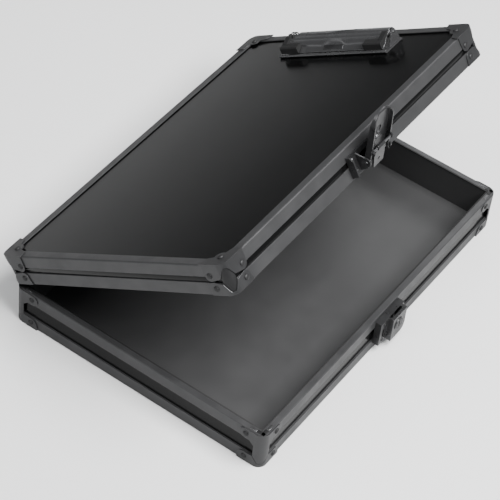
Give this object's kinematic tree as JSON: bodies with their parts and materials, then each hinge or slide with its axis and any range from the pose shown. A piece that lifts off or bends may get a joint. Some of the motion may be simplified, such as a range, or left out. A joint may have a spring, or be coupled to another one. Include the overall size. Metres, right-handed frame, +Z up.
{
  "type": "lockable storage clipboard",
  "caption": "Framed document tray with a hinged lid that serves as the writing board, a spring clip on the lid, a lever latch with a draw plate and a key lock.",
  "frame": {"origin": "centre of the base's footprint, on the surface that the base stands on", "axes": "+Z up; +X from the hinge to the latch; +Y along the long side, towards the end with the clip"},
  "size_m": [0.2675, 0.3432, 0.2263],
  "materials": {
    "rail": "dark grey anodised, satin",
    "bracket": "dark grey, satin",
    "band": "gloss black laminate on board",
    "lid_board": "gloss black laminate on board",
    "liner": "dark grey laminate on board, satin",
    "post": "moulded black",
    "hardware": "black nickel",
    "bare_steel": "dark steel",
    "grip": "matt black"
  },
  "bodies": {
    "base": {"base_top_rail_right": "rail", "base_top_rail_back": "rail", "base_top_rail_left": "rail", "base_top_rail_front": "rail", "base_bottom_rail_right": "rail", "base_bottom_rail_back": "rail", "base_bottom_rail_left": "rail", "base_bottom_rail_front": "rail", "base_side_panel_right": "band", "base_side_panel_back": "band", "base_side_panel_left": "band", "base_side_panel_front": "band", "base_wall_liner_right": "liner", "base_wall_liner_back": "liner", "base_wall_liner_left": "liner", "base_wall_liner_front": "liner", "base_floor_panel": "liner", "base_corner_back_right": "bracket", "base_corner_back_left": "bracket", "base_corner_front_left": "bracket", "base_corner_front_right": "bracket", "base_foot_bracket_back_right": "bracket", "base_foot_bracket_back_left": "bracket", "base_foot_bracket_front_left": "bracket", "base_foot_bracket_front_right": "bracket", "hinge_leaf_base": "hardware", "hinge_pin": "bare_steel", "lock_housing": "hardware"},
    "lid": {"lid_rail_right": "rail", "lid_rail_back": "rail", "lid_rail_left": "rail", "lid_rail_front": "rail", "lid_panel": "lid_board", "lid_corner_post_back_right": "post", "lid_corner_post_back_left": "post", "lid_corner_post_front_left": "post", "lid_corner_post_front_right": "post", "lid_corner_cap_back_right": "bracket", "lid_corner_cap_back_left": "bracket", "lid_corner_cap_front_left": "bracket", "lid_corner_cap_front_right": "bracket", "lid_corner_shoe_back_right": "bracket", "lid_corner_shoe_back_left": "bracket", "lid_corner_shoe_front_left": "bracket", "lid_corner_shoe_front_right": "bracket", "hinge_leaf_lid": "hardware", "latch_bracket": "hardware", "latch_pivot_pin": "bare_steel", "clip_base_plate": "hardware", "clip_pivot_pin": "bare_steel", "clip_spring": "bare_steel"},
    "clip_jaw": {"clip_jaw": "hardware", "clip_grip_left": "grip", "clip_grip_right": "grip"},
    "latch_lever": {"latch_lever": "hardware", "latch_hook_pin": "bare_steel"},
    "latch_hook": {"latch_hook": "hardware"},
    "lock_cylinder": {"lock_cylinder": "bare_steel"},
    "lock_bolt": {"lock_bolt": "bare_steel"}
  },
  "joints": [
    {"name": "lid_hinge", "type": "hinge", "parent": "base", "child": "lid", "pos_m": [-0.123, 0, 0.0382], "axis": [0, -1, 0], "range_deg": [-33, 137]},
    {"name": "clip_jaw_hinge", "type": "hinge", "parent": "lid", "child": "clip_jaw", "pos_m": [-0.03874, 0.15, 0.13429], "axis": [-0.8387, 0, -0.5446], "range_deg": [0, 28], "stiffness_Nm_per_rad": 0.4, "springref_deg": -28.65},
    {"name": "latch_lever_hinge", "type": "hinge", "parent": "lid", "child": "latch_lever", "pos_m": [0.08359, 0.006, 0.18333], "axis": [0, 1, 0], "range_deg": [-33, 147]},
    {"name": "latch_hook_hinge", "type": "hinge", "parent": "latch_lever", "child": "latch_hook", "pos_m": [0.08629, 0.004, 0.19433], "axis": [0, -1, 0], "range_deg": [0, 170]},
    {"name": "key_turn", "type": "hinge", "parent": "base", "child": "lock_cylinder", "pos_m": [0.12, 0.004, 0.0234], "axis": [1, 0, 0], "range_deg": [0, 90]},
    {"name": "bolt_slide", "type": "slide", "parent": "base", "child": "lock_bolt", "axis": [1, 0, 0], "range_m": [0, 0.0022]}
  ],
  "couplings": [
    {"joint": "key_turn", "follows": "bolt_slide", "rad_per_m": 700}
  ]
}
